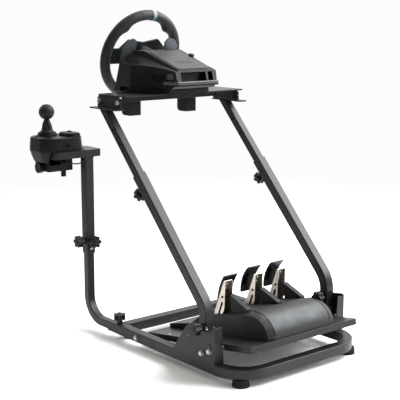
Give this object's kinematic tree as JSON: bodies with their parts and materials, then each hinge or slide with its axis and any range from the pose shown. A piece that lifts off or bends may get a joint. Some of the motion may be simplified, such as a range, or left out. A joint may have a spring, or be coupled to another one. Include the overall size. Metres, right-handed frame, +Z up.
{
  "type": "racing wheel stand",
  "caption": "Open tubular stand for driving games with a steering wheel on a tilting deck, a pedal set on a raised plate and a gear shifter on a side mast.",
  "frame": {"origin": "on the floor, midway along the base frame and on the stand's mirror plane", "axes": "+X to the driver's right, +Y away from the driver towards the screen, +Z up"},
  "size_m": [0.644, 0.861, 0.9919],
  "materials": {
    "powder_coat": "satin black powder coat",
    "zinc_steel": "bright zinc plate",
    "foot_rubber": "matt black rubber",
    "knob_plastic": "black moulded plastic",
    "rim_leather": "black stitched leather",
    "dark_metal": "dark satin metal",
    "pedal_metal": "satin nickel",
    "housing_plastic": "fine-grained black plastic",
    "panel_plastic": "satin dark grey plastic",
    "lever_leather": "black leather",
    "cord_rubber": "black lead"
  },
  "bodies": {
    "base": {"base_frame": "powder_coat", "rear_cross_tube": "powder_coat", "rubber_feet": "foot_rubber", "side_bracket_left": "powder_coat", "side_bracket_right": "powder_coat", "plate_spacers": "zinc_steel", "fold_knobs": "knob_plastic", "lower_upright_left": "powder_coat", "lower_upright_right": "powder_coat", "height_knobs": "knob_plastic", "foot_tube_knob": "knob_plastic"},
    "head": {"upper_upright_left": "powder_coat", "upper_upright_right": "powder_coat", "head_bracket_left": "powder_coat", "head_bracket_right": "powder_coat"},
    "deck": {"deck_plate": "powder_coat", "deck_beam": "powder_coat", "wheel_clamps": "housing_plastic", "wheel_base": "housing_plastic", "wheel_base_panel": "panel_plastic"},
    "steering": {"steering_rim": "rim_leather", "wheel_spider": "dark_metal", "hub_cap": "housing_plastic"},
    "shift_paddle_left": {"paddle_left": "dark_metal"},
    "shift_paddle_right": {"paddle_right": "dark_metal"},
    "pedal_deck": {"pedal_plate": "powder_coat", "pedal_housing": "housing_plastic", "pedal_axle": "zinc_steel", "heel_rest": "housing_plastic", "pedal_boots": "housing_plastic"},
    "gas_pedal": {"pedal_arm_gas": "pedal_metal", "pedal_pad_gas": "dark_metal"},
    "brake_pedal": {"pedal_arm_brake": "pedal_metal", "pedal_pad_brake": "dark_metal"},
    "clutch_pedal": {"pedal_arm_clutch": "pedal_metal", "pedal_pad_clutch": "dark_metal"},
    "mast_foot": {"shifter_foot_tube": "powder_coat"},
    "mast": {"mast_sleeve": "powder_coat", "shifter_tray": "powder_coat", "mast_knobs": "knob_plastic", "shifter_housing": "housing_plastic", "gaiter_collar": "housing_plastic", "shifter_clamps": "housing_plastic", "cord_glands": "cord_rubber", "shifter_cord": "cord_rubber"},
    "lever": {"gear_lever": "lever_leather", "lever_knob": "lever_leather"}
  },
  "joints": [
    {"name": "height_slide", "type": "slide", "parent": "base", "child": "head", "axis": [0, -0.682, 0.7314], "range_m": [-0.108, 0.108]},
    {"name": "deck_tilt", "type": "hinge", "parent": "head", "child": "deck", "pos_m": [0, -0.353, 0.722], "axis": [1, 0, 0], "range_deg": [0, 12]},
    {"name": "steering", "type": "hinge", "parent": "deck", "child": "steering", "pos_m": [0, -0.462, 0.849], "axis": [0, -0.9461, 0.3239], "range_deg": [-450, 450]},
    {"name": "shift_up", "type": "hinge", "parent": "steering", "child": "shift_paddle_right", "pos_m": [0.046, -0.42368, 0.83588], "axis": [0, -0.3239, -0.9461], "range_deg": [0, 6], "stiffness_Nm_per_rad": 3, "springref_deg": -8.59},
    {"name": "shift_down", "type": "hinge", "parent": "steering", "child": "shift_paddle_left", "pos_m": [-0.046, -0.42368, 0.83588], "axis": [0, 0.3239, 0.9461], "range_deg": [0, 6], "stiffness_Nm_per_rad": 3, "springref_deg": -8.59},
    {"name": "pedal_deck_tilt", "type": "hinge", "parent": "base", "child": "pedal_deck", "pos_m": [0, 0.1875, 0.085], "axis": [1, 0, 0], "range_deg": [-5, 2]},
    {"name": "gas", "type": "hinge", "parent": "pedal_deck", "child": "gas_pedal", "pos_m": [0.104, 0.04542, 0.10505], "axis": [-1, 0, 0], "range_deg": [0, 12], "stiffness_Nm_per_rad": 8, "springref_deg": -17.19},
    {"name": "brake", "type": "hinge", "parent": "pedal_deck", "child": "brake_pedal", "pos_m": [-0.012, 0.04542, 0.10505], "axis": [-1, 0, 0], "range_deg": [0, 12], "stiffness_Nm_per_rad": 14, "springref_deg": -17.19},
    {"name": "clutch", "type": "hinge", "parent": "pedal_deck", "child": "clutch_pedal", "pos_m": [-0.104, 0.04542, 0.10505], "axis": [-1, 0, 0], "range_deg": [0, 12], "stiffness_Nm_per_rad": 8, "springref_deg": -17.19},
    {"name": "mast_reach", "type": "slide", "parent": "base", "child": "mast_foot", "axis": [0, 1, 0], "range_m": [-0.08, 0.04]},
    {"name": "mast_height", "type": "slide", "parent": "mast_foot", "child": "mast", "axis": [0, 0, 1], "range_m": [-0.1, 0.06]},
    {"name": "gear_shift", "type": "hinge", "parent": "mast", "child": "lever", "pos_m": [0.327, -0.505, 0.6244], "axis": [1, 0, 0], "range_deg": [-12, 12], "stiffness_Nm_per_rad": 4}
  ]
}
